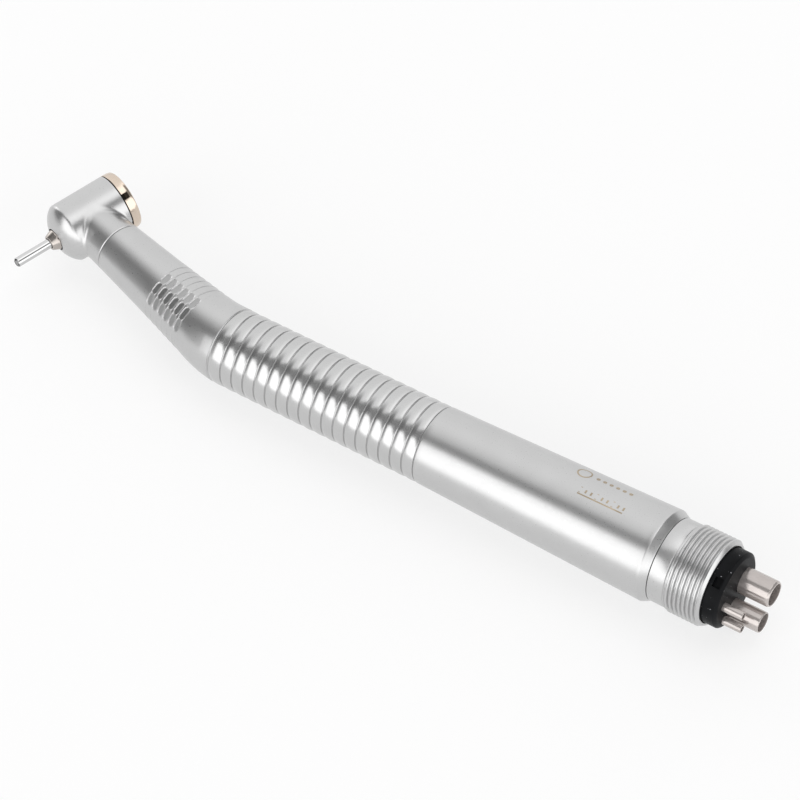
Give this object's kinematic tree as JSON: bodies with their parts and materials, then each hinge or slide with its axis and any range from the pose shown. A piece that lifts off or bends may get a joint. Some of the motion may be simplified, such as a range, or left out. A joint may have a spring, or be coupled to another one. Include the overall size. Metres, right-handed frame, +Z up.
{
  "type": "high speed handpiece",
  "caption": "Slim dental handpiece: an air turbine head with a push-button chuck on a bent, tapered metal handle that ends in a threaded hose coupling.",
  "frame": {"origin": "centre of the flat rear face of the hose coupling's black insert, on the handle's axis", "axes": "+X back along the straight rear part of the handle, out of the coupling towards the hose; the handle's bend lies in the XY plane, with the push button facing roughly +Y and the tool pin roughly -Y; +Z up, square to that plane"},
  "size_m": [0.1379, 0.0251, 0.015],
  "materials": {
    "satin_metal": "bead-blasted satin stainless steel",
    "gold_metal": "polished pale gold plating",
    "button_metal": "satin face with a polished edge",
    "polished_steel": "ground and polished steel",
    "black_insert": "satin black moulding",
    "rubber_ring": "matt black rubber",
    "nickel_tube": "bright nickel plating over brass",
    "line_brass": "drawn brass tube",
    "spring_steel": "drawn spring steel",
    "spindle_steel": "ground hardened steel",
    "wheel_alloy": "machined light alloy",
    "race_steel": "ground bearing steel",
    "ball_steel": "polished bearing steel",
    "cage_resin": "brown resin"
  },
  "bodies": {
    "handpiece": {"handle_shell": "satin_metal", "head_housing": "satin_metal", "rear_coupling": "satin_metal", "head_cap": "gold_metal", "connector_insert": "black_insert", "coupling_o_ring": "rubber_ring", "cap_seal": "rubber_ring", "front_bearing_o_ring": "rubber_ring", "rear_bearing_o_ring": "rubber_ring", "exhaust_tube": "nickel_tube", "drive_air_tube": "nickel_tube", "water_tube": "nickel_tube", "chip_air_tube": "nickel_tube", "drive_air_line": "line_brass", "water_line": "line_brass", "chip_air_line": "line_brass", "button_spring": "spring_steel", "wave_washer": "spring_steel", "front_bearing_outer_race": "race_steel", "rear_bearing_outer_race": "race_steel"},
    "rotor": {"turbine_spindle": "spindle_steel", "turbine_impeller": "wheel_alloy", "chuck_collet": "spindle_steel", "front_bearing_inner_race": "race_steel", "rear_bearing_inner_race": "race_steel"},
    "front_ball_set": {"front_bearing_cage": "cage_resin", "front_bearing_ball_1": "ball_steel", "front_bearing_ball_2": "ball_steel", "front_bearing_ball_3": "ball_steel", "front_bearing_ball_4": "ball_steel", "front_bearing_ball_5": "ball_steel", "front_bearing_ball_6": "ball_steel", "front_bearing_ball_7": "ball_steel"},
    "rear_ball_set": {"rear_bearing_cage": "cage_resin", "rear_bearing_ball_1": "ball_steel", "rear_bearing_ball_2": "ball_steel", "rear_bearing_ball_3": "ball_steel", "rear_bearing_ball_4": "ball_steel", "rear_bearing_ball_5": "ball_steel", "rear_bearing_ball_6": "ball_steel", "rear_bearing_ball_7": "ball_steel"},
    "pin": {"test_pin": "polished_steel"},
    "button": {"push_button": "button_metal"},
    "plunger": {"chuck_plunger": "spindle_steel"}
  },
  "joints": [
    {"name": "turbine_spin", "type": "hinge", "parent": "handpiece", "child": "rotor", "pos_m": [-0.12657, 0.00927, 0], "axis": [0.3541, 0.9352, 0], "continuous": true},
    {"name": "front_ball_set_spin", "type": "hinge", "parent": "handpiece", "child": "front_ball_set", "pos_m": [-0.12657, 0.00927, 0], "axis": [0.3541, 0.9352, 0], "continuous": true},
    {"name": "rear_ball_set_spin", "type": "hinge", "parent": "handpiece", "child": "rear_ball_set", "pos_m": [-0.12657, 0.00927, 0], "axis": [0.3541, 0.9352, 0], "continuous": true},
    {"name": "pin_release_slide", "type": "slide", "parent": "rotor", "child": "pin", "axis": [-0.3541, -0.9352, 0], "range_m": [0, 0.012]},
    {"name": "button_press", "type": "slide", "parent": "handpiece", "child": "button", "axis": [-0.3541, -0.9352, 0], "range_m": [0, 0.0006], "stiffness_N_per_m": 2000, "springref_m": -0.0005, "deforming": ["button_spring"]},
    {"name": "plunger_slide", "type": "slide", "parent": "rotor", "child": "plunger", "axis": [-0.3541, -0.9352, 0], "range_m": [0, 0.0004]}
  ],
  "couplings": [
    {"joint": "front_ball_set_spin", "follows": "turbine_spin", "ratio": 0.395},
    {"joint": "rear_ball_set_spin", "follows": "turbine_spin", "ratio": 0.395},
    {"joint": "plunger_slide", "follows": "button_press", "ratio": 0.6}
  ]
}
